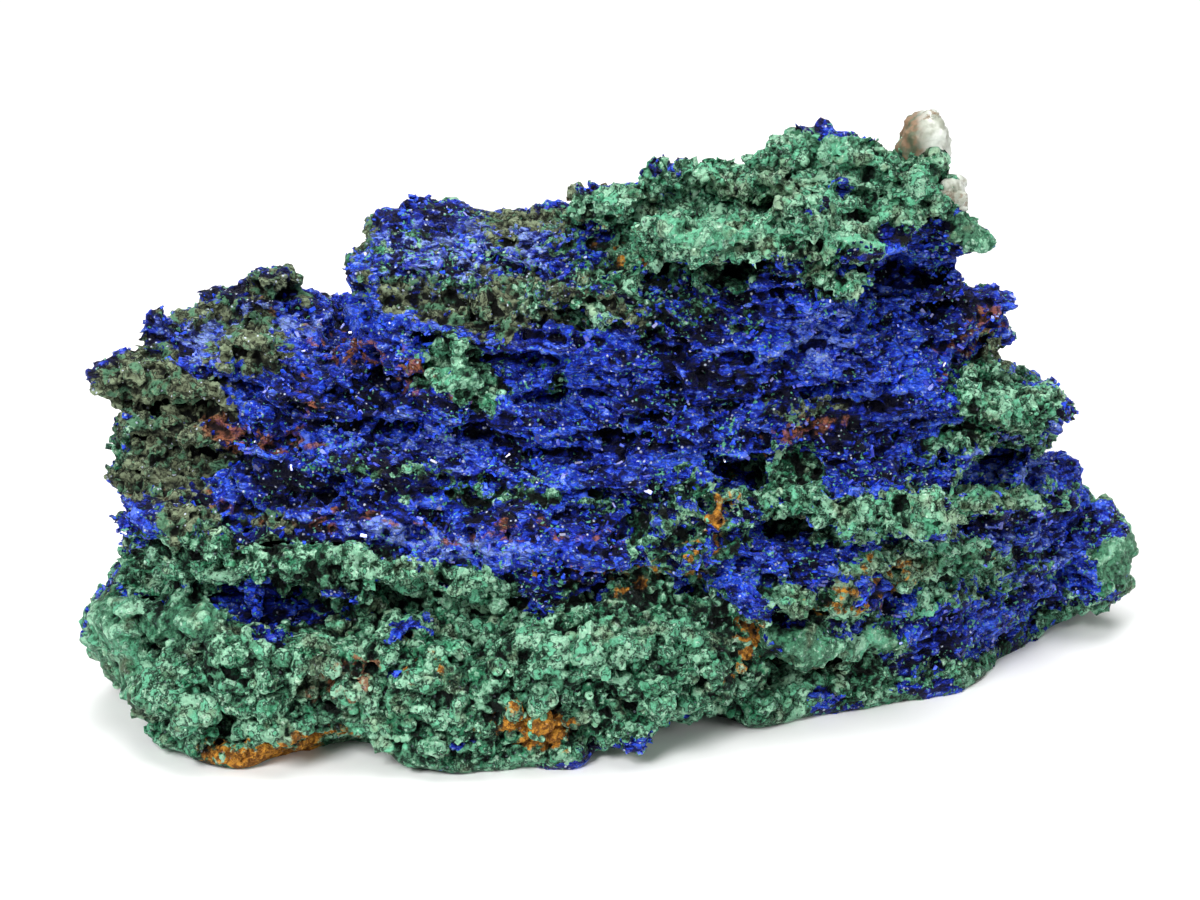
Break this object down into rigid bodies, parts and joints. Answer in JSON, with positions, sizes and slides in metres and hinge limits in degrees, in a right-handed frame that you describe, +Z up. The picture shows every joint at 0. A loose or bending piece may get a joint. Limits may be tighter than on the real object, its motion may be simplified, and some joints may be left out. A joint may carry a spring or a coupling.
{
  "type": "azurite specimen",
  "caption": "Bedded cabinet specimen of deep blue azurite crust with green malachite ledges and mounds, ochre limonite and milky quartz knobs, on a flat foot.",
  "frame": {"origin": "middle of the bounding box in plan, on the plane of the flat foot", "axes": "+X along the length with the specimen's green cap towards +X, +Y towards the back, +Z up from the flat foot; the show face looks along -Y"},
  "size_m": [0.122, 0.0608, 0.0639],
  "materials": {
    "azurite_crust": "crystalline crust with small glints"
  },
  "bodies": {
    "root": {"azurite_specimen": "azurite_crust"}
  },
  "joints": []
}
